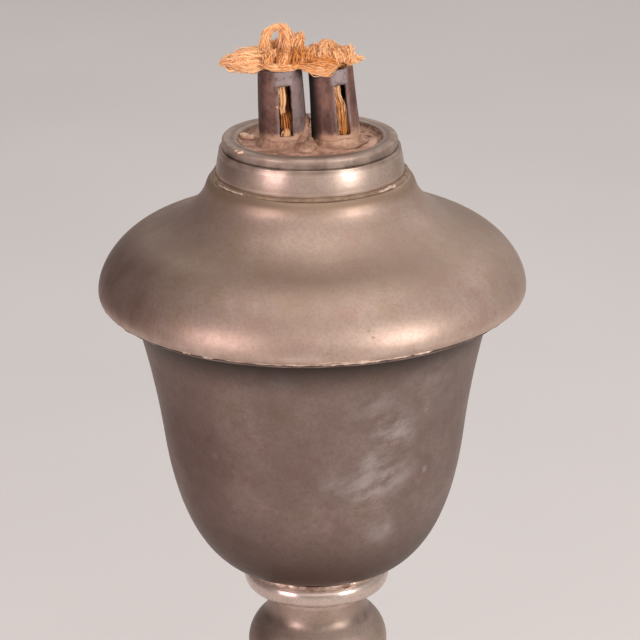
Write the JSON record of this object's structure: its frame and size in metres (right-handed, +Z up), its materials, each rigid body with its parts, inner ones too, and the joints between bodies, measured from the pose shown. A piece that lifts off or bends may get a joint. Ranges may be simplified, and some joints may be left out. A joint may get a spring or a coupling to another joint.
{
  "type": "whale oil lamp",
  "caption": "Pewter table lamp with a turned foot and baluster stem, a domed bell-shaped oil font and a screw-in burner with slotted tubes that hold frayed cotton wicks.",
  "frame": {"origin": "on the table, under the middle of the foot", "axes": "+Z up along the lamp's turned axis, -Y towards the front with the pick slots, +X to the right"},
  "size_m": [0.11, 0.11, 0.211],
  "materials": {
    "pewter": "aged pewter, satin with a brown patina",
    "dull_pewter": "aged pewter, dull with pale oxide patches",
    "bright_pewter": "turned pewter, rubbed bright",
    "solder": "rough soft solder",
    "tinned_iron": "rusted tinned sheet iron",
    "cotton": "oil-stained cotton, frayed"
  },
  "bodies": {
    "lamp": {"foot": "pewter", "foot_solder": "solder", "stem_pedestal": "pewter", "stem_knop": "bright_pewter", "stem_baluster": "pewter", "stem_ring": "bright_pewter", "ring_solder": "solder", "font_bell": "dull_pewter", "font_seam_solder": "solder", "font_dome": "pewter", "neck_solder": "solder", "neck_collar": "bright_pewter"},
    "screw_ring": {"burner_screw_ring": "dull_pewter"},
    "burner": {"burner_plate": "tinned_iron", "plate_solder": "solder", "tube_solder": "solder", "wick_tube_left": "tinned_iron", "wick_tube_right": "tinned_iron"},
    "left_wick": {"wick_left": "cotton"},
    "right_wick": {"wick_right": "cotton"}
  },
  "joints": [
    {"name": "burner_rise", "type": "slide", "parent": "lamp", "child": "screw_ring", "axis": [0, 0, 1], "range_m": [0, 0.0072]},
    {"name": "burner_turn", "type": "hinge", "parent": "screw_ring", "child": "burner", "pos_m": [0, 0, 0.1893], "axis": [0, 0, 1], "range_deg": [0, 1440]},
    {"name": "wick_left_raise", "type": "slide", "parent": "burner", "child": "left_wick", "axis": [-0.0279, 0, 0.9996], "range_m": [0, 0.008]},
    {"name": "wick_right_raise", "type": "slide", "parent": "burner", "child": "right_wick", "axis": [-0.0767, 0, 0.9971], "range_m": [0, 0.008]}
  ],
  "couplings": [
    {"joint": "burner_turn", "follows": "burner_rise", "rad_per_m": 3490.7}
  ]
}
